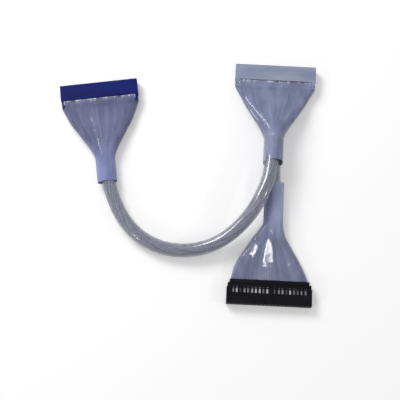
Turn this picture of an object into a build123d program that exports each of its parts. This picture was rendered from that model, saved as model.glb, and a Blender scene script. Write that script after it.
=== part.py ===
"""Round ATA drive cable: three 40-way sockets on one loom of 80 fine wires.

The loom runs from the host socket through a long round jacket to the slave socket, and on through a
short one, which passes below the long one, to the master socket. At each socket the wires spread
into a flat ribbon inside a clear shrink sleeve. The cable lies on the plane z = 0, in millimetres.
"""

from build123d import *
import math
import os

# ---- Pin field, common to the three sockets ----
PITCH = 2.54
COLUMNS = 20
ROWS = 2
KEY_COLUMN = 9  # the blocked position, pin 20
KEY_ROW = 1

# ---- Housing ----
HOUSING_DEPTH = 11.2
HOUSING_THICKNESS = 6.4
HOUSING_EDGE_FILLET = 0.35
CHAMBER_WIDTH = 1.7
CHAMBER_HEIGHT = 1.6
FACE_WEB = 1.4  # plastic left between the mating face and the contact chambers
PIN_HOLE = 0.95
LEAD_IN = 1.5
LEAD_IN_DEPTH = 0.45
WINDOW_WIDTH = 1.45
WINDOW_LENGTH = 3.2
WINDOW_BACK_WALL = 0.5  # plastic between a window and the wire side
KEY_BUMP_WIDTH = 4.0
KEY_BUMP_LENGTH = 3.6
KEY_BUMP_HEIGHT = 1.1
KEY_BUMP_SETBACK = 0.6

# ---- Cover, clipped on the wire side of the housing ----
COVER_DEPTH = 2.2
COVER_INSET = 0.6  # how far each cover end stands in from the housing end
RIBBON_STEP = 0.9  # how far both broad sides of the cover are set in, for the folded ribbon
LATCH_LENGTH = 5.0
LATCH_WIDTH = 3.0
LATCH_THICKNESS = 1.1
LATCH_BARB = 0.3
LATCH_BARB_LENGTH = 1.2
LATCH_CLEARANCE = 0.1
TINE_POCKET_DEPTH = 1.5
TINE_CLEARANCE = 0.1

# ---- Strain relief, pegged to the back of the cover ----
RELIEF_DEPTH = 2.4
RELIEF_THICKNESS = 5.8
RELIEF_SLOT_CLEARANCE = 0.1
PEG_RADIUS = 0.35
PEG_LENGTH = 1.2
PEG_CLEARANCE = 0.05

# ---- Contacts and ground bar ----
CONTACT_PLATE = 0.3
CONTACT_WIDTH = 1.3
CONTACT_SPRING_LENGTH = 5.0
CONTACT_SPRING_WIDTH = 1.0
CONTACT_PIN_GAP = 0.62
TINE_WIDTH = 0.4
TINE_GAP = 0.3
TINE_REACH = 1.2  # how far the tines stand past the ribbon, into the cover
BUS_PLATE = 0.3
BUS_DEPTH = 2.4
BUS_TOOTH_WIDTH = 0.35
BUS_END_MARGIN = 0.6
BUS_CLEARANCE = 0.02

# ---- Wires ----
WIRE_COUNT = 4 * COLUMNS
WIRE_DIAMETER = PITCH / 4  # the ribbon's wires touch, four of them to each column
WRAP_CLEARANCE = 0.1
FAN_LENGTH = 57.1  # neck end to the back of the strain relief
FAN_SIDE_GAP = 2.0  # between the outermost wire and the sleeve
FAN_SPACING = 1.2  # between the middles of two fans, where they lie one above the other
GATHER_LENGTH = 3.0  # from the neck to where the fan has become the round bundle
MEETING_GAP = 0.02  # between the end of a fan and the end of its bundle

# ---- Jackets ----
JACKET_DIAMETER = 9.5
JACKET_WALL = 1.0
JACKET_INSERTION = 17.0  # length of jacket held inside each sleeve
BUNDLE_CLEARANCE = 0.15  # between the bundle and the jacket around it
JACKET_BORE = JACKET_DIAMETER - 2 * JACKET_WALL
BUNDLE_DIAMETER = JACKET_BORE - 2 * BUNDLE_CLEARANCE

# ---- Shrink sleeves ----
SLEEVE_WALL = 0.4
SLEEVE_CLEARANCE = 0.25
MOUTH_CORNER = 0.6  # inner corner radius where the film is drawn over the square cover
SLEEVE_OVERLAP = 3.9  # how far the film laps over the strain relief and cover, where it does
NECK_WIDTH = 13.8
NECK_LENGTH = 18.0
NECK_CLEARANCE = 0.05  # above and below one jacket
STACK_CLEARANCE = 0.8  # in all, where the neck holds one jacket above the other
NECK_HEIGHT = JACKET_DIAMETER + 2 * (SLEEVE_WALL + NECK_CLEARANCE)
DOUBLE_NECK_HEIGHT = 2 * (JACKET_DIAMETER + SLEEVE_WALL) + STACK_CLEARANCE
# The cone's outline: how far along it is from the neck to the strain relief, and how far its width
# has grown from the neck's to the ribbon's, both as shares of the whole.
CONE_PROFILE = ((0.09, 0.07), (0.22, 0.205), (0.345, 0.37), (0.5, 0.57), (0.65, 0.77), (0.79, 0.91))
BARE_MOUTH_MARGIN = 0.5  # how far the film stands past the ribbon on each side, with no overlap

# ---- Layout on the plane: the neck end of each sleeve, and how each socket is turned ----
# "end" and "relief_end" are how far the housing stands past its outer columns and the strain relief
# past the ribbon, "axis" gives how far the film's middle stands to the side, at distances from the
# neck end, "looms" gives each fan's node and its bundle's place in the neck, as (node, x, z), and
# "neck_extension" is how far the film runs on along the jacket past the neck end.
HOST = {
    "end": 3.17,
    "relief_end": 1.0,
    "neck": (-55.4, -0.5),
    "turn": 6.5,
    "windows_up": False,
    "axis": ((NECK_LENGTH, 0.0), (FAN_LENGTH, 0.0)),
    "overlap": SLEEVE_OVERLAP,
    "looms": (("host_fan", 0.0, 5.25),),
    "neck_height": NECK_HEIGHT,
    "neck_extension": 0.0,
}
SLAVE = {
    "end": 4.37,
    "relief_end": 1.8,
    "neck": (58.4, 11.8),
    "turn": -3.1,
    "windows_up": False,
    "axis": ((NECK_LENGTH, 0.0), (FAN_LENGTH, 0.0)),
    "overlap": SLEEVE_OVERLAP,
    "looms": (("slave_main_fan", -0.8, 14.95), ("slave_link_fan", 0.8, 5.25)),
    "neck_height": DOUBLE_NECK_HEIGHT,
    "neck_extension": 0.0,
}
MASTER = {
    "end": 4.37,
    "relief_end": 1.2,
    "neck": (58.9, -11.9),
    "turn": 177.2,
    "windows_up": True,
    "axis": ((NECK_LENGTH, 0.0), (27.0, 2.2), (46.0, 2.4), (FAN_LENGTH, 1.3)),
    "overlap": 0.0,
    "looms": (("master_fan", 0.0, 5.25),),
    "neck_height": NECK_HEIGHT,
    "neck_extension": 11.0,
}
SOCKETS = {"host": HOST, "slave": SLAVE, "master": MASTER}

# ---- Routes of the two jackets, from end to end inside the sleeves ----
MAIN_ROUTE = (
    (-57.325, 16.391, 5.25),
    (-55.330, -1.120, 5.25),
    (-44.95, -26.60, 4.80),
    (-28.80, -42.40, 4.78),
    (-7.30, -49.40, 4.78),
    (18.40, -45.90, 7.00),
    (38.70, -30.60, 12.40),
    (51.20, -11.40, 17.20),
    (57.406, 8.242, 14.95),
    (58.521, 28.818, 14.95),
)
LINK_ROUTE = (
    (60.118, 28.732, 5.25),
    (59.080, 9.560, 5.25),
    (59.008, -9.703, 5.25),
    (58.070, -28.880, 5.25),
)

# ---- Distances from the neck end, worked out from the sizes above ----
RELIEF_BACK = FAN_LENGTH
COVER_BACK = RELIEF_BACK + RELIEF_DEPTH
COVER_FRONT = COVER_BACK + COVER_DEPTH
HOUSING_BACK = COVER_FRONT + WIRE_DIAMETER
MATING_FACE = HOUSING_BACK + HOUSING_DEPTH
CHAMBER_END = MATING_FACE - FACE_WEB
RIBBON_WIDTH = WIRE_COUNT * WIRE_DIAMETER
PIN_FIELD_WIDTH = (COLUMNS - 1) * PITCH
COVER_THICKNESS = HOUSING_THICKNESS - 2 * RIBBON_STEP
FAN_END = NECK_LENGTH + GATHER_LENGTH
CONE_LENGTH = RELIEF_BACK - NECK_LENGTH
# Film width at distances from the neck end, through the cone.
CONE_WIDTHS = [
    (NECK_LENGTH + CONE_LENGTH * way, NECK_WIDTH + (RIBBON_WIDTH - NECK_WIDTH) * growth)
    for way, growth in CONE_PROFILE
]
WRAP_INNER = COVER_THICKNESS / 2 + WRAP_CLEARANCE
WRAP_OUTER = WRAP_INNER + WIRE_DIAMETER


def block(width, height, y0, y1, x=0.0, z=0.0):
    """A box centred on x and z that runs from y0 to y1."""
    return Pos(x, (y0 + y1) / 2, z) * Box(width, y1 - y0, height)


def pin_field():
    """Yield the x and z of each pin position, and whether it is the blocked one."""
    for column in range(COLUMNS):
        for row in range(ROWS):
            x = (column - (COLUMNS - 1) / 2) * PITCH
            z = (row - (ROWS - 1) / 2) * PITCH
            yield x, z, (column, row) == (KEY_COLUMN, KEY_ROW)


def live_pins():
    """The x and z of every position that holds a contact."""
    return [(x, z) for x, z, blocked in pin_field() if not blocked]


def housing_length(socket):
    """Length of the housing, from the pin field and its ends."""
    return PIN_FIELD_WIDTH + 2 * socket["end"]


def relief_length(socket):
    """Length of the strain relief, from the ribbon and its ends."""
    return RIBBON_WIDTH + 2 * socket["relief_end"]


def latch_box(length, side, grow=0.0):
    """One cover arm, lying in the notch at the end of the housing."""
    x = side * (length / 2 - COVER_INSET - LATCH_THICKNESS / 2)
    width = LATCH_THICKNESS + 2 * grow
    height = LATCH_WIDTH + 2 * grow
    return block(width, height, COVER_FRONT, HOUSING_BACK + LATCH_LENGTH + grow, x)


def latch_barb(length, side, grow=0.0):
    """The barb on the inner side of a cover arm, near its tip."""
    x = side * (length / 2 - COVER_INSET - LATCH_THICKNESS - LATCH_BARB / 2)
    tip = HOUSING_BACK + LATCH_LENGTH
    width = LATCH_BARB + 2 * grow
    height = LATCH_WIDTH + 2 * grow
    return block(width, height, tip - LATCH_BARB_LENGTH - grow, tip + grow, x)


def housing(socket):
    """The insulator: 2 x 20 chambers, pin holes, contact windows, key bump and latch notches."""
    length = housing_length(socket)
    body = block(length, HOUSING_THICKNESS, HOUSING_BACK, MATING_FACE)
    body = fillet(body.edges().filter_by(Axis.Y), HOUSING_EDGE_FILLET)
    body += block(
        KEY_BUMP_WIDTH,
        KEY_BUMP_HEIGHT,
        MATING_FACE - KEY_BUMP_SETBACK - KEY_BUMP_LENGTH,
        MATING_FACE - KEY_BUMP_SETBACK,
        z=(HOUSING_THICKNESS + KEY_BUMP_HEIGHT) / 2,
    )
    cuts = []
    for x, z in live_pins():
        cuts.append(block(CHAMBER_WIDTH, CHAMBER_HEIGHT, HOUSING_BACK, CHAMBER_END, x, z))
        cuts.append(block(PIN_HOLE, PIN_HOLE, CHAMBER_END, MATING_FACE, x, z))
        mouth = Plane(origin=(x, MATING_FACE, z), x_dir=(1, 0, 0), z_dir=(0, -1, 0))
        outer = mouth * Rectangle(LEAD_IN, LEAD_IN)
        inner = mouth.offset(LEAD_IN_DEPTH) * Rectangle(PIN_HOLE, PIN_HOLE)
        cuts.append(loft([outer.face(), inner.face()], ruled=True))
    window_y0 = HOUSING_BACK + WINDOW_BACK_WALL
    for x, z in live_pins():
        if z > 0:
            top = HOUSING_THICKNESS / 2
            middle = (top + z) / 2
            cuts.append(
                block(WINDOW_WIDTH, top - z, window_y0, window_y0 + WINDOW_LENGTH, x, middle)
            )
    bus_width = bus_length() + 2 * BUS_CLEARANCE
    bus_height = BUS_PLATE + 2 * BUS_CLEARANCE
    cuts.append(block(bus_width, bus_height, HOUSING_BACK, HOUSING_BACK + BUS_DEPTH))
    for side in (-1, 1):
        cuts.append(latch_box(length, side, LATCH_CLEARANCE))
        cuts.append(latch_barb(length, side, LATCH_CLEARANCE))
    return body - cuts


def fork(x, z):
    """The two tines of one contact, which stand through the ribbon into the cover."""
    middle = (TINE_GAP + TINE_WIDTH) / 2
    return [
        block(TINE_WIDTH, CONTACT_PLATE, COVER_FRONT - TINE_REACH, HOUSING_BACK, x + offset, z)
        for offset in (-middle, middle)
    ]


def tines():
    """All the tines of one socket."""
    return [tine for x, z in live_pins() for tine in fork(x, z)]


def contact(x, z):
    """One spring contact: two leaves for the pin, a plate, and a forked blade for the wire."""
    plate_end = HOUSING_BACK + WINDOW_BACK_WALL + WINDOW_LENGTH
    spring_end = min(plate_end + CONTACT_SPRING_LENGTH, CHAMBER_END)
    plate = block(CONTACT_WIDTH, CONTACT_PLATE, HOUSING_BACK, plate_end, x, z)
    root_back = plate_end - CONTACT_PLATE
    root = block(CONTACT_WIDTH, CONTACT_SPRING_WIDTH, root_back, plate_end, x, z)
    leaf_x = (CONTACT_PIN_GAP + CONTACT_PLATE) / 2
    leaves = [
        block(CONTACT_PLATE, CONTACT_SPRING_WIDTH, plate_end, spring_end, x + offset, z)
        for offset in (-leaf_x, leaf_x)
    ]
    return plate + fork(x, z) + root + leaves


def contacts():
    """The 39 contacts of one socket, as separate solids."""
    return Compound([contact(x, z).solid() for x, z in live_pins()])


def teeth():
    """The teeth of the ground bar, one beside each contact column on either side."""
    places = [(i - (2 * COLUMNS - 1) / 2) * PITCH / 2 for i in range(2 * COLUMNS)]
    reach = COVER_FRONT - TINE_REACH
    return [block(BUS_TOOTH_WIDTH, BUS_PLATE, reach, HOUSING_BACK, x) for x in places]


def bus_length():
    """Length of the ground bar, from its outermost teeth and their end margins."""
    return (2 * COLUMNS - 1) * PITCH / 2 + BUS_TOOTH_WIDTH + 2 * BUS_END_MARGIN


def ground_bus():
    """The comb that joins every second wire to ground."""
    bar_end = HOUSING_BACK + BUS_DEPTH - BUS_CLEARANCE
    return block(bus_length(), BUS_PLATE, HOUSING_BACK, bar_end) + teeth()


def cover(socket):
    """The cap that presses the ribbon on to the tines, with its two latch arms."""
    length = housing_length(socket) - 2 * COVER_INSET
    cap = block(length, COVER_THICKNESS, COVER_BACK, COVER_FRONT)
    end_width = (length - RIBBON_WIDTH) / 2 - WRAP_CLEARANCE
    for side in (-1, 1):
        x = side * (length - end_width) / 2
        cap += block(end_width, HOUSING_THICKNESS, COVER_BACK, HOUSING_BACK, x)
        cap += latch_box(housing_length(socket), side)
        cap += latch_barb(housing_length(socket), side)
    pocket_y0 = COVER_FRONT - TINE_POCKET_DEPTH
    fork_width = 2 * TINE_WIDTH + TINE_GAP + 2 * TINE_CLEARANCE
    plate_height = CONTACT_PLATE + 2 * TINE_CLEARANCE
    cuts = [block(fork_width, plate_height, pocket_y0, COVER_FRONT, x, z) for x, z in live_pins()]
    bus_height = BUS_PLATE + 2 * TINE_CLEARANCE
    cuts.append(block(bus_length(), bus_height, pocket_y0, COVER_FRONT))
    for side in (-1, 1):
        cuts.append(peg(socket, side, PEG_CLEARANCE))
    return cap - cuts


def peg(socket, side, grow=0.0):
    """One of the two pegs of the strain relief, standing in the back of the cover."""
    x = side * (relief_length(socket) + RIBBON_WIDTH) / 4
    length = PEG_LENGTH + grow
    turned = Rot(90, 0, 0) * Cylinder(PEG_RADIUS + grow, length)
    return Pos(x, COVER_BACK + length / 2, 0) * turned


def loom_levels(socket):
    """The side each ribbon folds to and its height, about the socket's middle with windows up."""
    if len(socket["looms"]) == 1:
        return ((-1, 0.0),)
    offset = (WIRE_DIAMETER + RELIEF_SLOT_CLEARANCE) / 2
    return ((-1, -offset), (1, offset))


def strain_relief(socket):
    """The bar behind the cover, slotted and recessed for each ribbon that folds behind it."""
    bar = block(relief_length(socket), RELIEF_THICKNESS, RELIEF_BACK, COVER_BACK)
    bar = fillet(bar.edges().filter_by(Axis.X).group_by(Axis.Y)[0], HOUSING_EDGE_FILLET)
    width = RIBBON_WIDTH + 2 * RELIEF_SLOT_CLEARANCE
    height = WIRE_DIAMETER + 2 * RELIEF_SLOT_CLEARANCE
    recess_back = COVER_BACK - WIRE_DIAMETER - RELIEF_SLOT_CLEARANCE
    cuts = []
    for fold, level in loom_levels(socket):
        cuts.append(block(width, height, RELIEF_BACK, COVER_BACK, z=level))
        outer = fold * RELIEF_THICKNESS / 2
        middle = (outer + level) / 2
        cuts.append(block(width, abs(outer - level), recess_back, COVER_BACK, z=middle))
    return (bar - cuts) + [peg(socket, side) for side in (-1, 1)]


def along(points, y):
    """The value at y on straight lines between (y, value) points, and level past both ends."""
    for (y0, value0), (y1, value1) in zip(points, points[1:]):
        if y <= y1:
            return value0 + (value1 - value0) * max(y - y0, 0.0) / (y1 - y0)
    return points[-1][1]


def seat_height(socket):
    """Height of the middle of the socket, which lies on its broad side or on its key bump."""
    raised = 0.0 if socket["windows_up"] else KEY_BUMP_HEIGHT
    return raised + HOUSING_THICKNESS / 2


def sleeve_stations(socket):
    """The film's outer sections as (y, x, z, width, height), from the neck end to the socket."""
    if socket["overlap"]:
        mouth_width = housing_length(socket) - 2 * COVER_INSET + 2 * (SLEEVE_CLEARANCE + SLEEVE_WALL)
        mouth_height = HOUSING_THICKNESS + 2 * (SLEEVE_CLEARANCE + SLEEVE_WALL)
    else:
        mouth_width = RIBBON_WIDTH + 2 * (BARE_MOUTH_MARGIN + SLEEVE_WALL)
        mouth_height = RELIEF_THICKNESS
    cone_end = CONE_WIDTHS[-1][0]
    heights = ((NECK_LENGTH, socket["neck_height"]), (cone_end, mouth_height))
    levels = ((NECK_LENGTH, socket["neck_height"] / 2), (cone_end, seat_height(socket)))
    neck_end = -socket["neck_extension"]
    widths = [(neck_end, NECK_WIDTH), (NECK_LENGTH, NECK_WIDTH), *CONE_WIDTHS]
    widths.append((RELIEF_BACK, mouth_width))
    if socket["overlap"]:
        widths.append((RELIEF_BACK + socket["overlap"], mouth_width))
    return [
        (y, along(socket["axis"], y), along(levels, y), width, along(heights, y))
        for y, width in widths
    ]


def rounded_section(y, x, z, width, height, radius=None):
    """A rounded rectangle across the y axis, its corners as round as it allows unless given."""
    plane = Plane(origin=(x, y, z), x_dir=(1, 0, 0), z_dir=(0, -1, 0))
    radius = radius or 0.48 * min(width, height)
    return (plane * RectangleRounded(width, height, radius)).face()


def film_solid(stations, offset):
    """The film's outline drawn in by an offset, square-cornered where it laps over the cover."""
    faces = []
    for y, x, z, width, height in stations:
        corner = MOUTH_CORNER + SLEEVE_WALL - offset if y >= RELIEF_BACK else None
        section = rounded_section(y, x, z, width - 2 * offset, height - 2 * offset, corner)
        faces.append(section)
    return loft(faces, ruled=True)


def sleeve(socket):
    """The shrink film: a thin shell from the round neck to the flat mouth."""
    stations = sleeve_stations(socket)
    cavity = [list(station) for station in stations]
    cavity[0][0] -= SLEEVE_WALL
    cavity[-1][0] += SLEEVE_WALL
    return film_solid(stations, 0.0) - film_solid(cavity, SLEEVE_WALL)


def ribbon(socket, index):
    """The flat end of one loom: across the tines, round the cover and out through the relief."""
    fold, level = loom_levels(socket)[index]
    back = COVER_BACK - WIRE_DIAMETER
    side = fold * (WRAP_INNER + WRAP_OUTER) / 2
    far_edge = level - fold * WIRE_DIAMETER / 2
    outer_edge = fold * WRAP_OUTER
    behind = (far_edge + outer_edge) / 2
    wires = block(RIBBON_WIDTH, WIRE_DIAMETER, back, HOUSING_BACK, z=side)
    wires += block(RIBBON_WIDTH, abs(outer_edge - far_edge), back, COVER_BACK, z=behind)
    wires += block(RIBBON_WIDTH, WIRE_DIAMETER, RELIEF_BACK, COVER_BACK, z=level)
    if index:
        return wires
    wires += block(RIBBON_WIDTH, 2 * WRAP_INNER, COVER_FRONT, HOUSING_BACK)
    return wires - tines() - teeth()


def fan(socket, index):
    """One loom of wires, from the round bundle in the neck to its ribbon in the socket."""
    name, neck_x, neck_z = socket["looms"][index]
    level = loom_levels(socket)[index][1]
    mouth_z = seat_height(socket) + (level if socket["windows_up"] else -level)
    bundle_area = math.pi * BUNDLE_DIAMETER**2 / 4
    lift = (len(socket["looms"]) - 1) * (0.5 - index) * FAN_SPACING
    cone_z = seat_height(socket) + lift
    drift = ((FAN_END, neck_x), (RELIEF_BACK, 0.0))
    levels = ((FAN_END, neck_z), (CONE_WIDTHS[-1][0], cone_z))
    stations = [(FAN_END + MEETING_GAP, neck_x, neck_z, BUNDLE_DIAMETER, BUNDLE_DIAMETER)]
    for y, film_width in CONE_WIDTHS[1:]:
        x = along(socket["axis"], y) + along(drift, y)
        z = along(levels, y)
        width = max(film_width - 2 * (SLEEVE_WALL + FAN_SIDE_GAP), BUNDLE_DIAMETER)
        stations.append((y, x, z, width, max(bundle_area / width, WIRE_DIAMETER)))
    stations.append((RELIEF_BACK, socket["axis"][-1][1], mouth_z, RIBBON_WIDTH, WIRE_DIAMETER))
    spread = loft([rounded_section(*station) for station in stations], ruled=True)
    return place(spread, socket) + seat(ribbon(socket, index), socket)


def place(piece, socket):
    """Set a piece, made about the sleeve's neck, on the plane."""
    x, y = socket["neck"]
    return Pos(x, y, 0) * Rot(0, 0, socket["turn"]) * piece


def seat(piece, socket):
    """Set a socket piece, made with its windows up about the socket's middle, at its place."""
    turned = piece if socket["windows_up"] else Rot(0, 180, 0) * piece
    return place(Pos(socket["axis"][-1][1], 0, seat_height(socket)) * turned, socket)


def corner_radii(route):
    """The radius at each inner point: 0.45 of the shorter run over the tangent of half the turn."""
    points = [Vector(*point) for point in route]
    radii = []
    for before, corner, after in zip(points, points[1:], points[2:]):
        run_in = corner - before
        run_out = after - corner
        half_turn = math.radians(run_in.get_angle(run_out)) / 2
        radii.append(0.45 * min(run_in.length, run_out.length) / math.tan(half_turn))
    return radii


def jacket(name, route):
    """The round jacket over one bundle, with a printed check of its radii and volume."""
    line = FilletPolyline(*route, radius=corner_radii(route))
    start = Plane(origin=line @ 0, z_dir=line % 0)
    tube = sweep(start * (Circle(JACKET_DIAMETER / 2) - Circle(JACKET_BORE / 2)), path=line)
    area = math.pi * (JACKET_DIAMETER**2 - JACKET_BORE**2) / 4
    radii = [round(radius, 1) for radius in corner_radii(route)]
    print(name, "length", round(line.length, 1), "radii", radii)
    print(name, "volume over section times length", round(tube.volume / (area * line.length), 4))
    return tube


def bundle(route):
    """The twisted wires inside one jacket, standing past both its ends to meet the fans."""
    points = [Vector(*point) for point in route]
    reach = FAN_END - JACKET_INSERTION
    points[0] += (points[0] - points[1]).normalized() * reach
    points[-1] += (points[-1] - points[-2]).normalized() * reach
    line = FilletPolyline(*points, radius=corner_radii(route))
    start = Plane(origin=line @ 0, z_dir=line % 0)
    return sweep(start * Circle(BUNDLE_DIAMETER / 2), path=line)


def write(node, shape):
    """Write one node's STEP file."""
    export_step(shape, f"parts/{node}.step")


def main():
    os.makedirs("parts", exist_ok=True)
    for name, socket in SOCKETS.items():
        write(f"{name}_housing", seat(housing(socket), socket))
        write(f"{name}_contacts", seat(contacts(), socket))
        write(f"{name}_ground_bus", seat(ground_bus(), socket))
        write(f"{name}_cover", seat(cover(socket), socket))
        write(f"{name}_strain_relief", seat(strain_relief(socket), socket))
        write(f"{name}_sleeve", place(sleeve(socket), socket))
        for index, (node, *_) in enumerate(socket["looms"]):
            write(node, fan(socket, index))
    for name, route in (("main", MAIN_ROUTE), ("link", LINK_ROUTE)):
        write(f"{name}_jacket", jacket(f"{name}_jacket", route))
        write(f"{name}_bundle", bundle(route))


main()
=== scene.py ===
"""Round drive cable: wires, clear sleeves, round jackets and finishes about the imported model."""
import math
import random

import bpy
from mathutils import Matrix, Vector


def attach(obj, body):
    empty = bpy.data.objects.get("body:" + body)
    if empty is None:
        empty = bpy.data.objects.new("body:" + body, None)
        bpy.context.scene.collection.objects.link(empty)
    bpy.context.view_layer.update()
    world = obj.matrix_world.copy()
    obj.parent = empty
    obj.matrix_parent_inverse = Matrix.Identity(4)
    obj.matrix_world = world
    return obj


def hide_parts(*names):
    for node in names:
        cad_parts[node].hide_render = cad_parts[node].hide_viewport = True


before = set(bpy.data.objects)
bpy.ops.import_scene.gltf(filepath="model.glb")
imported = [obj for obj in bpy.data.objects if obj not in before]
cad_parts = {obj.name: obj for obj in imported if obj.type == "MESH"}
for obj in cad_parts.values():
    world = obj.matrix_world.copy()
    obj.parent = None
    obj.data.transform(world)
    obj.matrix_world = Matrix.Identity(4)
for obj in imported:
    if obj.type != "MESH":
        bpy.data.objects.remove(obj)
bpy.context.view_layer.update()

MM = 0.001

# ---- Sizes of the cable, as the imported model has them, in metres ----
WIRE_DIAMETER = 0.635 * MM
WIRE_COUNT = 80  # in each fan
STRIP_WIRES = 4  # wires that stay side by side in one strip
RIBBON_WIDTH = WIRE_COUNT * WIRE_DIAMETER
BUNDLE_DIAMETER = 7.2 * MM
BUNDLE_HEIGHT = 5.25 * MM  # of the middle of a jacket that lies in a neck on the table
JACKET_DIAMETER = 9.5 * MM
JACKET_INSERTION = 17.0 * MM
NECK_LENGTH = 18.0 * MM
NECK_WIDTH = 13.8 * MM
FAN_END = 21.0 * MM  # where the round bundle opens into the fan, from the neck end
RELIEF_BACK = 57.1 * MM  # this and the next two are distances from the neck end as well
COVER_BACK = 59.5 * MM
HOUSING_BACK = 62.335 * MM
WRAP_MIDDLE = 2.72 * MM  # from the socket's middle to the ribbon on the cover's broad side
LOOM_LEVEL = 0.3675 * MM  # of each loom from the middle, where a strain relief holds two
SLEEVE_OVERLAP = 3.9 * MM  # of the film over the strain relief
CONE = (  # distance from the neck end and width of the film, in millimetres
    (21.52, 16.39),
    (26.6, 21.39),
    (31.49, 27.49),
    (37.55, 34.89),
    (43.42, 42.29),
    (48.89, 47.47),
)

# For each socket: where its neck ends on the plane, its turn from +Y in degrees, the side its
# contact windows face, the height of its middle, its sideways drift as (distance, drift), the
# width and height of the film's mouth, how far the film runs over the strain relief, the neck's
# height, how far the neck runs on along the jacket, and its looms as (node that is replaced,
# place across the neck, height of the bundle).
SOCKETS = {
    "host": {
        "neck": (-0.0554, -0.0005),
        "turn": 6.5,
        "windows_up": False,
        "middle": 4.3 * MM,
        "axis": ((NECK_LENGTH, 0.0), (RELIEF_BACK, 0.0)),
        "mouth": (54.71 * MM, 7.7 * MM),
        "overlap": SLEEVE_OVERLAP,
        "neck_height": 10.4 * MM,
        "neck_extension": 0.0,
        "looms": (("host_fan", 0.0, BUNDLE_HEIGHT),),
    },
    "slave": {
        "neck": (0.0584, 0.0118),
        "turn": -3.1,
        "windows_up": False,
        "middle": 4.3 * MM,
        "axis": ((NECK_LENGTH, 0.0), (RELIEF_BACK, 0.0)),
        "mouth": (57.1 * MM, 7.7 * MM),
        "overlap": SLEEVE_OVERLAP,
        "neck_height": 20.6 * MM,
        "neck_extension": 0.0,
        "looms": (
            ("slave_main_fan", -0.8 * MM, 14.95 * MM),
            ("slave_link_fan", 0.8 * MM, BUNDLE_HEIGHT),
        ),
    },
    "master": {
        "neck": (0.0589, -0.0119),
        "turn": 177.2,
        "windows_up": True,
        "middle": 3.2 * MM,
        "axis": (
            (NECK_LENGTH, 0.0),
            (27.0 * MM, 2.2 * MM),
            (46.0 * MM, 2.4 * MM),
            (RELIEF_BACK, 1.3 * MM),
        ),
        "mouth": (52.6 * MM, 5.8 * MM),
        "overlap": 0.0,
        "neck_height": 10.4 * MM,
        "neck_extension": 11.0 * MM,
        "looms": (("master_fan", 0.0, BUNDLE_HEIGHT),),
    },
}

# Routes of the two jackets, from end to end inside the sleeves.
MAIN_ROUTE = (
    (-0.057325, 0.016391, 0.00525),
    (-0.055330, -0.001120, 0.00525),
    (-0.04495, -0.02660, 0.00480),
    (-0.02880, -0.04240, 0.00478),
    (-0.00730, -0.04940, 0.00478),
    (0.01840, -0.04590, 0.00700),
    (0.03870, -0.03060, 0.01240),
    (0.05120, -0.01140, 0.01720),
    (0.057406, 0.008242, 0.01495),
    (0.058521, 0.028818, 0.01495),
)
LINK_ROUTE = (
    (0.060118, 0.028732, 0.00525),
    (0.059080, 0.009560, 0.00525),
    (0.059008, -0.009703, 0.00525),
    (0.058070, -0.028880, 0.00525),
)
MAIN_LENGTH = 0.2049
LINK_LENGTH = 0.0577


# ---- Studio: camera, floor and lamps ----
LOOK_AT = Vector((0.0083, -0.0117, 0.0))
CAMERA_PLACE = (0.0083, -0.1709, 0.5940)
CAMERA_LENS = 80.1  # millimetres, on a film 36 mm wide
WORLD_LIGHT = 0.41
FLOOR_SIZE = 8.0
FLOOR_DROP = 0.02 * MM  # keeps the floor just clear of what rests on it
FLOOR_LIFT = (0.25, 0.80)  # glow seen from the camera, near the cable and far away
FLOOR_LIFT_RUN = (0.30, 1.20)  # distances between which the glow changes
LAMPS = (  # name, direction, distance, side of the square, light on a white surface that faces it
    ("key_lamp", (-0.47, 0.59, 0.655), 0.9, 0.40, 0.69),
    ("side_lamp", (0.84, -0.20, 0.50), 1.1, 0.09, 0.10),
    ("low_lamp", (-0.70, -0.55, 0.46), 1.0, 0.09, 0.10),
    ("top_lamp", (0.092, -0.101, 0.991), 1.2, 0.036, 0.014),
)


def aim(thing, target):
    """Turn a camera or lamp towards a point."""
    away = Vector(target) - thing.location
    thing.rotation_euler = away.to_track_quat("-Z", "Y").to_euler()


def camera():
    """The camera, high over the front edge of the layout."""
    data = bpy.data.cameras.new("camera")
    data.lens = CAMERA_LENS
    data.sensor_width = 36.0
    data.clip_start = 0.01
    data.clip_end = 50.0
    view = bpy.data.objects.new("camera", data)
    view.location = CAMERA_PLACE
    bpy.context.scene.collection.objects.link(view)
    aim(view, LOOK_AT)
    bpy.context.scene.camera = view


def lamp(name, direction, distance, size, level):
    """A soft square lamp that adds about `level` to a white surface that faces it."""
    data = bpy.data.lights.new(name, "AREA")
    data.shape = "SQUARE"
    data.size = size
    data.energy = level * math.pi**2 * distance**2
    light = bpy.data.objects.new(name, data)
    light.location = LOOK_AT + Vector(direction).normalized() * distance
    bpy.context.scene.collection.objects.link(light)
    aim(light, LOOK_AT)


def seen_directly(tree):
    """A value of 1 for rays from the camera, mirrors and glass, and 0 for the rays that light."""
    path = tree.nodes.new("ShaderNodeLightPath")
    total = path.outputs["Is Camera Ray"]
    for name in ("Is Glossy Ray", "Is Transmission Ray"):
        larger = tree.nodes.new("ShaderNodeMath")
        larger.operation = "MAXIMUM"
        tree.links.new(total, larger.inputs[0])
        tree.links.new(path.outputs[name], larger.inputs[1])
        total = larger.outputs[0]
    return total


def map_range(tree, value, span, result, interpolation="LINEAR"):
    """A value carried from one span to another, and held level past the span's ends."""
    node = tree.nodes.new("ShaderNodeMapRange")
    node.interpolation_type = interpolation
    for name, setting in zip(("From Min", "From Max", "To Min", "To Max"), (*span, *result)):
        node.inputs[name].default_value = setting
    tree.links.new(value, node.inputs["Value"])
    return node.outputs[0]


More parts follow.
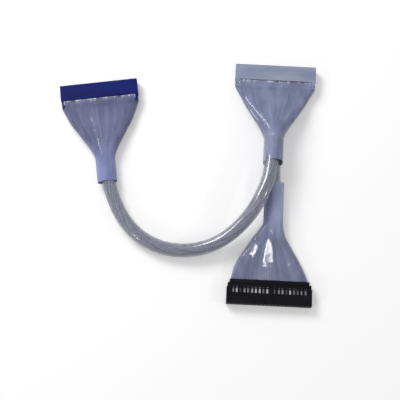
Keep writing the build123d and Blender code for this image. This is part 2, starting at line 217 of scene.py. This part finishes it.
def studio():
    """A plain white floor that keeps the shadow, a plain world and soft lamps."""
    scene = bpy.context.scene
    scene.view_settings.view_transform = "Standard"

    world = bpy.data.worlds.new("world")
    world.use_nodes = True
    scene.world = world
    tree = world.node_tree
    background = tree.nodes["Background"]
    background.inputs["Color"].default_value = (1.0, 1.0, 1.0, 1.0)
    level = map_range(tree, seen_directly(tree), (0.0, 1.0), (WORLD_LIGHT, 1.0))
    tree.links.new(level, background.inputs["Strength"])

    bpy.ops.mesh.primitive_plane_add(size=FLOOR_SIZE, location=(0, 0, -FLOOR_DROP))
    floor = bpy.context.object
    floor.name = "floor"
    bpy.ops.object.transform_apply(location=True)
    floor_paint, shader = material("floor_white", (0.82, 0.82, 0.83), 0.9)
    shader.inputs["Specular IOR Level"].default_value = 0.1
    shader.inputs["Emission Color"].default_value = (1.0, 0.99, 0.97, 1.0)
    tree = floor_paint.node_tree
    place = tree.nodes.new("ShaderNodeTexCoord")
    away = tree.nodes.new("ShaderNodeVectorMath")
    away.operation = "LENGTH"
    tree.links.new(place.outputs["Object"], away.inputs[0])
    glow = map_range(tree, away.outputs["Value"], FLOOR_LIFT_RUN, FLOOR_LIFT)
    lift = tree.nodes.new("ShaderNodeMath")
    lift.operation = "MULTIPLY"
    tree.links.new(seen_directly(tree), lift.inputs[0])
    tree.links.new(glow, lift.inputs[1])
    tree.links.new(lift.outputs[0], shader.inputs["Emission Strength"])
    floor.data.materials.append(floor_paint)

    for settings in LAMPS:
        lamp(*settings)


# ---- Materials ----
# Over this run from the neck end, the film turns from milky to clear and the painted light on its
# neck fades out.
FILM_MILK_AND_PAINTED_LIGHT_RUN = (14 * MM, 36 * MM)  # from the neck end, where the film turns from milky to clear
FILM_ALPHA = (0.72, 0.46)  # at the neck and over the fan


def material(name, colour, roughness):
    """A new material with its shader's colour and roughness set."""
    made = bpy.data.materials.new(name)
    made.use_nodes = True
    shader = made.node_tree.nodes["Principled BSDF"]
    shader.inputs["Base Color"].default_value = (*colour, 1.0)
    shader.inputs["Roughness"].default_value = roughness
    return made, shader


def mapped_noise(made, scale, detail=2.0, stretch=(1.0, 1.0, 1.0), turn=0.0):
    """A noise pattern on the piece's own coordinates, turned about Z and then stretched."""
    nodes, links = made.node_tree.nodes, made.node_tree.links
    place = nodes.new("ShaderNodeTexCoord")
    mapping = nodes.new("ShaderNodeMapping")
    mapping.inputs["Rotation"].default_value = (0.0, 0.0, -math.radians(turn))
    mapping.inputs["Scale"].default_value = stretch
    noise = nodes.new("ShaderNodeTexNoise")
    noise.inputs["Scale"].default_value = scale
    noise.inputs["Detail"].default_value = detail
    links.new(place.outputs["Object"], mapping.inputs["Vector"])
    links.new(mapping.outputs[0], noise.inputs["Vector"])
    return noise


def ramp(made, factor, low, high, dark, light):
    """Colours from dark to light as the factor goes from low to high."""
    nodes, links = made.node_tree.nodes, made.node_tree.links
    colours = nodes.new("ShaderNodeValToRGB")
    first, last = colours.color_ramp.elements
    first.position = low
    last.position = high
    first.color = (*dark, 1.0)
    last.color = (*light, 1.0)
    links.new(factor, colours.inputs["Fac"])
    return colours


def rough_range(made, factor, low, high):
    """A roughness that runs from low to high with the factor."""
    tree = made.node_tree
    roughness = map_range(tree, factor, (0.3, 0.7), (low, high))
    tree.links.new(roughness, tree.nodes["Principled BSDF"].inputs["Roughness"])


def bump(made, height, distance, strength=1.0):
    """Bump from a pattern, on the material's shader."""
    nodes, links = made.node_tree.nodes, made.node_tree.links
    relief = nodes.new("ShaderNodeBump")
    relief.inputs["Strength"].default_value = strength
    relief.inputs["Distance"].default_value = distance
    links.new(height, relief.inputs["Height"])
    links.new(relief.outputs[0], nodes["Principled BSDF"].inputs["Normal"])


def moulded_plastic(name, dark, light, roughness, turn):
    """Moulded nylon: faint flow marks along the part and a fine satin grain."""
    made, shader = material(name, light, roughness)
    links = made.node_tree.links
    flow = mapped_noise(made, 90.0, 3.0, (0.35, 1.6, 1.0), turn)
    tint = ramp(made, flow.outputs["Fac"], 0.32, 0.68, dark, light)
    links.new(tint.outputs["Color"], shader.inputs["Base Color"])
    rough_range(made, flow.outputs["Fac"], roughness - 0.06, roughness + 0.10)
    grain = mapped_noise(made, 5200.0, 2.0)
    bump(made, grain.outputs["Fac"], 0.00003, 0.5)
    shader.inputs["Specular IOR Level"].default_value = 0.08
    return made


def tin_plate(name, turn):
    """Bright tin over bronze, a little duller on some contacts than on others."""
    made, shader = material(name, (0.72, 0.72, 0.70), 0.3)
    links = made.node_tree.links
    uneven = mapped_noise(made, 330.0, 1.0, (1.0, 0.05, 0.05), turn)
    tint = ramp(made, uneven.outputs["Fac"], 0.40, 0.62, (0.07, 0.07, 0.08), (0.46, 0.46, 0.47))
    links.new(tint.outputs["Color"], shader.inputs["Base Color"])
    rough_range(made, uneven.outputs["Fac"], 0.42, 0.22)
    shader.inputs["Metallic"].default_value = 0.85
    return made


def wire_insulation(name, dark, light):
    """Smooth wire insulation with a slow change of shade along each wire."""
    made, shader = material(name, light, 0.35)
    links = made.node_tree.links
    shade = mapped_noise(made, 170.0, 2.0)
    tint = ramp(made, shade.outputs["Fac"], 0.35, 0.65, dark, light)
    links.new(tint.outputs["Color"], shader.inputs["Base Color"])
    rough_range(made, shade.outputs["Fac"], 0.26, 0.42)
    return made


def shrink_film(name, dark, light, neck, neck_painted_light, turn):
    """Clear glossy shrink film with soft drawn creases, milkier where it has shrunk most, and with
    painted light at the neck.
    """
    made, shader = material(name, light, 0.14)
    nodes, links = made.node_tree.nodes, made.node_tree.links
    cloud = mapped_noise(made, 120.0, 3.0, (1.0, 0.35, 1.0), turn)
    tint = ramp(made, cloud.outputs["Fac"], 0.35, 0.65, dark, light)
    place = nodes.new("ShaderNodeTexCoord")
    away = nodes.new("ShaderNodeVectorMath")
    away.operation = "DISTANCE"
    away.inputs[1].default_value = (*neck, 0.005)
    links.new(place.outputs["Object"], away.inputs[0])
    reach = away.outputs["Value"]
    alpha = map_range(made.node_tree, reach, FILM_MILK_AND_PAINTED_LIGHT_RUN, FILM_ALPHA, "SMOOTHSTEP")
    links.new(alpha, shader.inputs["Alpha"])
    # Painted light: the neck's colour is lightened or darkened by the socket's factor, fading out
    # along the run.
    painted_neck_light = map_range(made.node_tree, reach, FILM_MILK_AND_PAINTED_LIGHT_RUN, (neck_painted_light, 1.0), "SMOOTHSTEP")
    lighter = nodes.new("ShaderNodeHueSaturation")
    links.new(painted_neck_light, lighter.inputs["Value"])
    links.new(tint.outputs["Color"], lighter.inputs["Color"])
    links.new(lighter.outputs[0], shader.inputs["Base Color"])
    rough_range(made, cloud.outputs["Fac"], 0.24, 0.36)
    creases = mapped_noise(made, 420.0, 2.0, (1.0, 0.12, 1.0), turn)
    bump(made, creases.outputs["Fac"], 0.0002, 0.16)
    shader.inputs["Specular IOR Level"].default_value = 0.08
    shader.inputs["Coat Weight"].default_value = 0.7
    shader.inputs["Coat Roughness"].default_value = 0.05
    shader.inputs["Coat IOR"].default_value = 1.5
    return made


def jacket_plastic(name):
    """Glossy translucent grey tube, faintly mottled by the wires pressed against it."""
    made, shader = material(name, (0.24, 0.245, 0.31), 0.22)
    links = made.node_tree.links
    mottle = mapped_noise(made, 620.0, 3.0)
    tint = ramp(
        made, mottle.outputs["Fac"], 0.36, 0.66, (0.142, 0.152, 0.215), (0.26, 0.272, 0.36)
    )
    links.new(tint.outputs["Color"], shader.inputs["Base Color"])
    rough_range(made, mottle.outputs["Fac"], 0.16, 0.30)
    bump(made, mottle.outputs["Fac"], 0.00012, 0.35)
    shader.inputs["Alpha"].default_value = 0.60
    shader.inputs["Specular IOR Level"].default_value = 0.8
    shader.inputs["Coat Weight"].default_value = 1.0
    shader.inputs["Coat Roughness"].default_value = 0.10
    shader.inputs["Coat IOR"].default_value = 1.6
    return made


# ---- Places ----
def to_plane(socket, x, y, z):
    """A point given across, along and above a socket's neck end, on the plane."""
    turn = math.radians(socket["turn"])
    neck_x, neck_y = socket["neck"]
    return Vector((
        neck_x + x * math.cos(turn) - y * math.sin(turn),
        neck_y + x * math.sin(turn) + y * math.cos(turn),
        z,
    ))


def level_between(points, y):
    """The value at y on straight lines between (y, value) points, level past both ends."""
    for (y0, value0), (y1, value1) in zip(points, points[1:]):
        if y <= y1:
            return value0 + (value1 - value0) * max(y - y0, 0.0) / (y1 - y0)
    return points[-1][1]


def smooth(share):
    """A share from 0 to 1 that starts and ends level."""
    share = min(max(share, 0.0), 1.0)
    return share * share * (3.0 - 2.0 * share)


# ---- Cords ----
def route_curve(name, route, bevel):
    """A NURBS curve with the route's points as its control points."""
    data = bpy.data.curves.new(name, "CURVE")
    data.dimensions = "3D"
    data.resolution_u = 24
    spline = data.splines.new("NURBS")
    spline.points.add(len(route) - 1)
    for point, place in zip(spline.points, route):
        point.co = (*place, 1.0)
    spline.order_u = 3
    spline.use_endpoint_u = True
    data.bevel_depth = bevel
    data.bevel_resolution = 8
    data.use_fill_caps = bevel > 0
    curve = bpy.data.objects.new(name, data)
    bpy.context.scene.collection.objects.link(curve)
    return curve


def spline_points(route):
    """Points along the route's own NURBS spline."""
    curve = route_curve("route_guide", route, 0.0)
    mesh = bpy.data.meshes.new_from_object(curve)
    points = [vertex.co.copy() for vertex in mesh.vertices]
    bpy.data.meshes.remove(mesh)
    bpy.data.objects.remove(curve)
    return points


def carried_frames(points):
    """At each point of a line, two directions across it that turn as little as they can."""
    frames = []
    across = None
    for i in range(len(points)):
        along = (points[min(i + 1, len(points) - 1)] - points[max(i - 1, 0)]).normalized()
        if across is None:
            across = along.cross(Vector((0, 0, 1))).normalized()
        across = (across - along * across.dot(along)).normalized()
        frames.append((across.copy(), along.cross(across).normalized()))
    return frames


def wires_object(name, lines, radius, materials, steps):
    """Many wires in one mesh: each line is a list of points and the number of its material."""
    data = bpy.data.curves.new(name, "CURVE")
    data.dimensions = "3D"
    data.resolution_u = steps
    data.bevel_depth = radius
    data.bevel_resolution = 1
    data.use_fill_caps = True
    for made in materials:
        data.materials.append(made)
    for points, number in lines:
        spline = data.splines.new("NURBS")
        spline.points.add(len(points) - 1)
        for control, place in zip(spline.points, points):
            control.co = (*place, 1.0)
        spline.order_u = 4
        spline.use_endpoint_u = True
        spline.material_index = number
        spline.use_smooth = True
    curve = bpy.data.objects.new(name, data)
    bpy.context.scene.collection.objects.link(curve)
    bpy.ops.object.select_all(action="DESELECT")
    curve.select_set(True)
    bpy.context.view_layer.objects.active = curve
    bpy.ops.object.convert(target="MESH")
    return bpy.context.object


STRAND_COUNT = 28
TWIST_LENGTH = 0.105  # of route in which the bundle turns once
STRAND_STEP = 0.0035  # about this far between the points of a strand
STRAND_SCATTER = 0.12  # of the space between two strands
STRAND_SWAY = 0.10  # radians to and fro round the bundle
SWAY_WAVE = 0.011
STRAND_DIP = 0.10 * MM  # in towards the core
DIP_WAVE = 0.017
DARK_EVERY, DARK_FIRST = 7, 3  # which strands are of the darkest insulation
CORE_OVERLAP = 0.6  # of a strand's radius, how far the core reaches into the ring of strands


def bundle_piece(name, route, seed, materials):
    """Twisted wires round a dark core, from fan to fan through one jacket."""
    draw = random.Random(seed)
    reach = FAN_END - JACKET_INSERTION
    ends = [Vector(point) for point in route]
    ends[0] += (ends[0] - ends[1]).normalized() * reach
    ends[-1] += (ends[-1] - ends[-2]).normalized() * reach
    points = spline_points(ends)
    frames = carried_frames(points)
    strand_radius = WIRE_DIAMETER / 2
    ring = BUNDLE_DIAMETER / 2 - strand_radius
    travelled = [0.0]
    for before, after in zip(points, points[1:]):
        travelled.append(travelled[-1] + (after - before).length)
    step = max(1, round(len(points) * STRAND_STEP / travelled[-1]))
    kept = list(range(0, len(points) - 1, step)) + [len(points) - 1]
    lines = []
    for strand in range(STRAND_COUNT):
        scatter = draw.uniform(-STRAND_SCATTER, STRAND_SCATTER)
        start = 2 * math.pi * (strand + scatter) / STRAND_COUNT
        sway = draw.uniform(0, 2 * math.pi)
        line = []
        for i in kept:
            angle = start + 2 * math.pi * travelled[i] / TWIST_LENGTH
            angle += STRAND_SWAY * math.sin(travelled[i] / SWAY_WAVE + sway)
            out = ring - STRAND_DIP * (1 + math.sin(travelled[i] / DIP_WAVE + 2 * sway))
            right, up = frames[i]
            line.append(points[i] + right * out * math.cos(angle) + up * out * math.sin(angle))
        lines.append((line, 2 if strand % DARK_EVERY == DARK_FIRST else strand % 2))
    strands = wires_object(name, lines, strand_radius, materials, 2)
    core_lines = [([points[i] for i in kept], 0)]
    core_radius = ring - strand_radius * (1 - CORE_OVERLAP)
    core = wires_object(name + "_core", core_lines, core_radius, materials[-1:], 2)
    bpy.ops.object.select_all(action="DESELECT")
    core.select_set(True)
    strands.select_set(True)
    bpy.context.view_layer.objects.active = strands
    bpy.ops.object.join()
    return strands


# ---- Fans of wires ----
FILM_GAP = 1.0 * MM  # between the outermost wires and the outside of the film
GOLDEN_ANGLE = 2.399963  # spreads points evenly over a disc
DISC_MARGIN = 0.6  # wire diameters from the bundle's outside to the middle of its outermost wire
DRAWN_RADIUS = WIRE_DIAMETER * 0.48  # a hair under half, so that neighbours stay apart
FAN_STATIONS = (  # distances from the neck end of the points of a wire, in millimetres
    21.02, 22.6, 25.0, 28.0, 31.5, 35.0, 38.5, 42.0, 45.5, 49.0, 52.5, 55.0, 57.1,
)
SPREAD_RUN = 12.0 * MM  # in which the wires leave their places in the round bundle
SETTLE_START = 44.0 * MM  # where they start to lie down into the ribbon
SETTLE_RUN = 9.0 * MM
WANDER = (0.15, 0.50)  # least and most sideways wander of a strip, in millimetres
WANDER_WAVE = 5.4 * MM
LOOM_SPLIT = 1.2 * MM  # between two looms in one film
FAN_FILL = 0.30  # thickness of the fan against the bundle's own volume
LAYER_SHARE = 0.8  # of that thickness that the strips use
OTHER_SHADE_CHANCE = 0.3
FOLD_STEP = 0.4 * MM  # between the points that hold a fold of the ribbon tight
FOLD_RISE = 0.5 * MM
FAN_SEED = 20  # of the first fan
SEEDS_PER_SOCKET = 3


def loom_side(socket, index):
    """Which broad side a loom folds to, 1 for up, and its height in the strain relief's slot."""
    fold = -1 if index == 0 else 1
    level = 0.0
    if len(socket["looms"]) > 1:
        level = fold * LOOM_LEVEL
    turned = 1 if socket["windows_up"] else -1
    return fold * turned, level * turned


def fan_piece(socket, index, seed, materials):
    """One loom's wires, in strips of four, from the round bundle to the ribbon at the cover."""
    draw = random.Random(seed)
    name, neck_x, neck_z = socket["looms"][index]
    side, level = loom_side(socket, index)
    middle = socket["middle"]
    axis = socket["axis"]
    cone_z = middle + (len(socket["looms"]) - 1) * (0.5 - index) * LOOM_SPLIT
    mouth_x = axis[-1][1]

    # Where the wires stand in the round bundle, from one side of it to the other.
    disc = BUNDLE_DIAMETER / 2 - WIRE_DIAMETER * DISC_MARGIN
    places = []
    for i in range(WIRE_COUNT):
        out = disc * math.sqrt((i + 0.5) / WIRE_COUNT)
        angle = i * GOLDEN_ANGLE
        places.append((out * math.cos(angle), out * math.sin(angle)))
    places.sort()

    widths = [(FAN_END, BUNDLE_DIAMETER / 2)]
    widths += [(y * MM, width * MM / 2 - FILM_GAP) for y, width in CONE[1:]]
    widths.append((RELIEF_BACK, RIBBON_WIDTH / 2))
    levels = ((FAN_END, neck_z), (CONE[-1][0] * MM, cone_z), (RELIEF_BACK, middle + level))

    lines = []
    for strip in range(WIRE_COUNT // STRIP_WIRES):
        sway = draw.uniform(0, 2 * math.pi)
        wander = draw.uniform(*WANDER) * MM
        layer = draw.uniform(-1.0, 1.0)
        shade = draw.choice((0, 0, 1, 1, 2))
        for wire in range(STRIP_WIRES):
            number = strip * STRIP_WIRES + wire
            share = (number + 0.5) / WIRE_COUNT * 2 - 1
            start_x, start_z = places[number]
            points = []
            for station in FAN_STATIONS:
                y = station * MM
                spread = smooth((y - FAN_END) / SPREAD_RUN)
                settle = smooth((y - SETTLE_START) / SETTLE_RUN)
                half = level_between(widths, y)
                thick = max(FAN_FILL * BUNDLE_DIAMETER**2 / half / 4, WIRE_DIAMETER / 2)
                loose = spread * (1 - settle)
                x = start_x * (1 - spread) + share * (half - WIRE_DIAMETER / 2) * spread
                x += wander * loose * math.sin(y / WANDER_WAVE + sway)
                x += level_between(((FAN_END, neck_x), (RELIEF_BACK, 0.0)), y)
                x += level_between(axis, y)
                z = start_z * (1 - spread) + layer * thick * LAYER_SHARE * loose
                z += level_between(levels, y)
                points.append(to_plane(socket, x, y, z))
            x = mouth_x + share * RIBBON_WIDTH / 2
            behind = COVER_BACK - WIRE_DIAMETER / 2
            front = HOUSING_BACK - WIRE_DIAMETER / 2
            high = middle + side * WRAP_MIDDLE
            low = middle + level
            folded = [(behind - FOLD_STEP, low), (behind, low)]
            folded += [(behind, low + side * FOLD_RISE), (behind, high - side * FOLD_STEP)]
            folded += [(behind, high), (behind + FOLD_STEP, high)]
            folded += [(front - FOLD_STEP, high), (front, high)]
            if index == 0:  # this loom's ribbon also turns down across the tines
                folded += [(front, high - side * FOLD_RISE), (front, middle)]
            points += [to_plane(socket, x, y, z) for y, z in folded]
            tone = shade
            if wire % 2 == 0 and draw.random() < OTHER_SHADE_CHANCE:
                tone = min(shade + 1, 2)
            lines.append((points, tone))
    return wires_object(name.replace("_fan", "_wires"), lines, DRAWN_RADIUS, materials, 2)


# ---- Clear sleeves ----
FILM_SIDES = 72
FILM_STEP = 1.25 * MM  # about this far between rings
FILM_WALL = 0.25 * MM
DENT_SIZE = 9.0 * MM
DENT_DEPTH = 0.14 * MM


def sleeve_outline(socket, y):
    """The film at a distance from the neck end: drift, height of its middle, width and height."""
    mouth_width, mouth_height = socket["mouth"]
    cone_end = CONE[-1][0] * MM
    widths = [(0.0, NECK_WIDTH), (NECK_LENGTH, NECK_WIDTH)]
    widths += [(place * MM, width * MM) for place, width in CONE]
    widths.append((RELIEF_BACK, mouth_width))
    heights = ((NECK_LENGTH, socket["neck_height"]), (cone_end, mouth_height))
    middles = ((NECK_LENGTH, socket["neck_height"] / 2), (cone_end, socket["middle"]))
    return (
        level_between(socket["axis"], y),
        level_between(middles, y),
        level_between(widths, y),
        level_between(heights, y),
    )


def sleeve_piece(name, socket, made):
    """The shrink film, drawn ring by ring from its neck to its mouth and pulled on to its form."""
    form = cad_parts[name]
    start = -socket["neck_extension"]
    end = RELIEF_BACK + socket["overlap"]
    rings = round((end - start) / FILM_STEP)
    step = (end - start) / rings
    x, z, width, height = sleeve_outline(socket, start)
    bpy.ops.object.select_all(action="DESELECT")
    bpy.ops.mesh.primitive_circle_add(
        vertices=FILM_SIDES, radius=1.0, location=(x, start, z), rotation=(math.pi / 2, 0, 0)
    )
    film = bpy.context.object
    film.name = name.replace("_sleeve", "_film")
    bpy.ops.object.transform_apply(location=True, rotation=True)
    bpy.ops.object.mode_set(mode="EDIT")
    bpy.ops.mesh.select_all(action="SELECT")
    bpy.ops.transform.resize(value=(width / 2, 1, height / 2), center_override=(x, start, z))
    before = (x, z, width, height)
    for ring in range(1, rings + 1):
        y = start + step * ring
        x, z, width, height = sleeve_outline(socket, y)
        bpy.ops.mesh.extrude_region_move(
            TRANSFORM_OT_translate={"value": (x - before[0], step, z - before[1])}
        )
        scale = (width / before[2], 1, height / before[3])
        bpy.ops.transform.resize(value=scale, center_override=(x, y, z))
        before = (x, z, width, height)
    bpy.ops.mesh.select_all(action="SELECT")
    bpy.ops.mesh.normals_make_consistent(inside=False)
    bpy.ops.object.mode_set(mode="OBJECT")
    film.matrix_world = Matrix.Translation((*socket["neck"], 0)) @ Matrix.Rotation(
        math.radians(socket["turn"]), 4, "Z"
    )
    bpy.ops.object.transform_apply(location=True, rotation=True)

    pull = film.modifiers.new("pull", "SHRINKWRAP")
    pull.target = form
    pull.wrap_method = "NEAREST_SURFACEPOINT"
    pull.wrap_mode = "ON_SURFACE"
    soften = film.modifiers.new("soften", "SMOOTH")
    soften.factor = 0.5
    soften.iterations = 2
    finer = film.modifiers.new("finer", "SUBSURF")
    finer.levels = finer.render_levels = 1
    clouds = bpy.data.textures.new(name + "_dents", "CLOUDS")
    clouds.noise_scale = DENT_SIZE
    dent = film.modifiers.new("dent", "DISPLACE")
    dent.texture = clouds
    dent.texture_coords = "LOCAL"
    dent.mid_level = 1.0
    dent.strength = DENT_DEPTH
    wall = film.modifiers.new("wall", "SOLIDIFY")
    wall.thickness = FILM_WALL
    wall.offset = -1.0
    for modifier in ("pull", "soften", "finer", "dent", "wall"):
        bpy.ops.object.modifier_apply(modifier=modifier)
    bpy.ops.object.shade_smooth_by_angle(angle=math.radians(50))
    film.data.materials.append(made)
    return film


# ---- Making ----
def cords(wires):
    """The two round jackets and the wires inside them."""
    tube = jacket_plastic("jacket_tube")
    for name, route, length, start, seed in (
        ("main", MAIN_ROUTE, MAIN_LENGTH, ("host", 0), 11),
        ("link", LINK_ROUTE, LINK_LENGTH, ("slave", 1), 12),
    ):
        jacket = route_curve(name + "_round_jacket", route, JACKET_DIAMETER / 2)
        jacket.data.materials.append(tube)
        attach(jacket, "root")
        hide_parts(name + "_jacket")
        strands = bundle_piece(name + "_strands", route, seed, wires)
        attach(strands, "root")
        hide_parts(name + "_bundle")


def paint(node, made):
    """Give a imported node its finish."""
    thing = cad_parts[node]
    if thing.material_slots:
        for place in thing.material_slots:
            place.material = made
    else:
        thing.data.materials.append(made)


camera()
studio()

wires = [
    wire_insulation("wire_grey", (0.18, 0.19, 0.30), (0.28, 0.295, 0.42)),
    wire_insulation("wire_pale", (0.48, 0.50, 0.64), (0.68, 0.70, 0.82)),
    wire_insulation("wire_deep", (0.06, 0.07, 0.13), (0.12, 0.13, 0.22)),
]
cords(wires)

plastics = {  # darkest and lightest colour, roughness
    "host": ((0.0030, 0.0070, 0.080), (0.0055, 0.0130, 0.140), 0.42),
    "slave": ((0.215, 0.245, 0.355), (0.305, 0.34, 0.46), 0.45),
    "master": ((0.0030, 0.0028, 0.0050), (0.0068, 0.0064, 0.0100), 0.42),
}
# In each entry the last value is painted light: the factor by which the film's colour at the neck
# is lightened or darkened to stand in for how light falls there.
films = {  # darkest and lightest colour over the fan, how much lighter the neck is
    "host": ((0.135, 0.155, 0.295), (0.21, 0.235, 0.41), 1.70),
    "slave": ((0.22, 0.255, 0.42), (0.33, 0.37, 0.56), 0.95),
    "master": ((0.20, 0.225, 0.38), (0.315, 0.345, 0.515), 1.45),
}
for number, (name, socket) in enumerate(SOCKETS.items()):
    dark, light, roughness = plastics[name]
    plastic = moulded_plastic(name + "_plastic", dark, light, roughness, socket["turn"])
    for piece in ("housing", "cover", "strain_relief"):
        paint(f"{name}_{piece}", plastic)
    tin = tin_plate(name + "_tin", socket["turn"])
    paint(name + "_contacts", tin)
    paint(name + "_ground_bus", tin)
    dark, light, neck_painted_light = films[name]
    clear = shrink_film(name + "_film", dark, light, socket["neck"], neck_painted_light, socket["turn"])
    film = sleeve_piece(name + "_sleeve", socket, clear)
    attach(film, "root")
    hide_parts(name + "_sleeve")
    for index, (node, *_) in enumerate(socket["looms"]):
        seed = FAN_SEED + SEEDS_PER_SOCKET * number + index
        loom = fan_piece(socket, index, seed, wires)
        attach(loom, "root")
        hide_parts(node)
